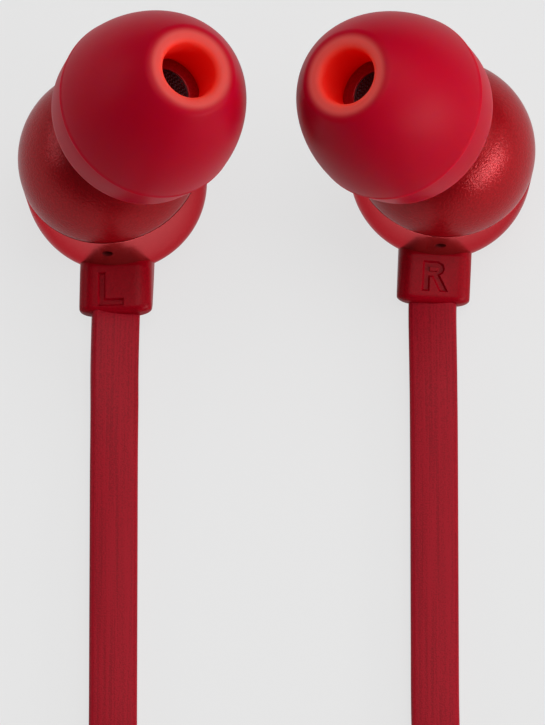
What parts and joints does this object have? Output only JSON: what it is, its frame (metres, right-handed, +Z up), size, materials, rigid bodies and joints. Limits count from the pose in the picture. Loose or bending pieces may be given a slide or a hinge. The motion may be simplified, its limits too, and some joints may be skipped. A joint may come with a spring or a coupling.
{
  "type": "wired earphones",
  "caption": "Wired in-ear earphones: angled nozzles with silicone ear tips, flat cords, an in-line remote, a splitter and a 3.5 mm plug, with the spare cord in an oval coil.",
  "frame": {"origin": "on the surface that the buds lie on, under the middle of the two buds and their strain reliefs", "axes": "+Z up; +X from the left bud to the right bud; -Y along the cords, towards the coil"},
  "size_m": [0.0452, 0.1314, 0.0236],
  "materials": {
    "moulded_plastic": "moulded, satin",
    "anodised_cover": "anodised, satin",
    "silicone": "smooth, satin",
    "cord_jacket": "soft, matt",
    "moulded_rubber": "fine grain, matt",
    "steel": "plain",
    "black_plastic": "matt",
    "mesh": "blackened",
    "copper": "enamelled wire",
    "gold_plate": "polished",
    "circuit_board": "lacquered",
    "film": "thin film"
  },
  "bodies": {
    "set": {"left_nozzle_mesh": "mesh", "left_front_housing": "moulded_plastic", "left_back_cover": "anodised_cover", "left_back_cap": "anodised_cover", "left_strain_relief": "moulded_rubber", "left_driver_grille": "steel", "left_driver_frame": "black_plastic", "left_driver_yoke": "steel", "left_driver_magnet": "steel", "left_top_plate": "steel", "left_rear_damper": "black_plastic", "left_terminal_board": "circuit_board", "left_lead_wires": "copper", "right_nozzle_mesh": "mesh", "right_front_housing": "moulded_plastic", "right_back_cover": "anodised_cover", "right_back_cap": "anodised_cover", "right_strain_relief": "moulded_rubber", "right_driver_grille": "steel", "right_driver_frame": "black_plastic", "right_driver_yoke": "steel", "right_driver_magnet": "steel", "right_top_plate": "steel", "right_rear_damper": "black_plastic", "right_terminal_board": "circuit_board", "right_lead_wires": "copper", "left_cord": "cord_jacket", "right_cord": "cord_jacket", "left_branch_coil": "cord_jacket", "right_branch_coil": "cord_jacket", "remote_branch_coil": "cord_jacket", "main_cord_coil": "cord_jacket", "splitter": "moulded_rubber", "remote_front_shell": "anodised_cover", "remote_back_shell": "anodised_cover", "remote_board": "circuit_board", "remote_switch": "steel", "microphone": "steel", "plug_handle": "anodised_cover", "plug_boot": "moulded_rubber", "plug_core": "black_plastic", "plug_sleeve": "gold_plate", "plug_lower_ring": "gold_plate", "plug_upper_ring": "gold_plate", "plug_tip": "gold_plate", "cord_tie": "black_plastic"},
    "left_tip": {"left_ear_tip": "silicone"},
    "right_tip": {"right_ear_tip": "silicone"},
    "left_cone": {"left_diaphragm": "film", "left_voice_coil": "copper"},
    "right_cone": {"right_diaphragm": "film", "right_voice_coil": "copper"},
    "button": {"remote_button": "black_plastic"}
  },
  "joints": [
    {"name": "left_tip_pull", "type": "slide", "parent": "set", "child": "left_tip", "axis": [0.383, -0.0443, 0.9227], "range_m": [-0.0012, 0.0029]},
    {"name": "right_tip_pull", "type": "slide", "parent": "set", "child": "right_tip", "axis": [-0.4453, -0.0908, 0.8907], "range_m": [-0.0012, 0.0029]},
    {"name": "left_cone_travel", "type": "slide", "parent": "set", "child": "left_cone", "axis": [-0.1348, 0.0317, 0.9904], "range_m": [-0.00015, 0.00015], "stiffness_N_per_m": 400},
    {"name": "right_cone_travel", "type": "slide", "parent": "set", "child": "right_cone", "axis": [0.071, -0.0602, 0.9957], "range_m": [-0.00015, 0.00015], "stiffness_N_per_m": 400},
    {"name": "button_press", "type": "slide", "parent": "set", "child": "button", "axis": [1, 0, 0], "range_m": [0, 0.00025], "stiffness_N_per_m": 1500}
  ]
}
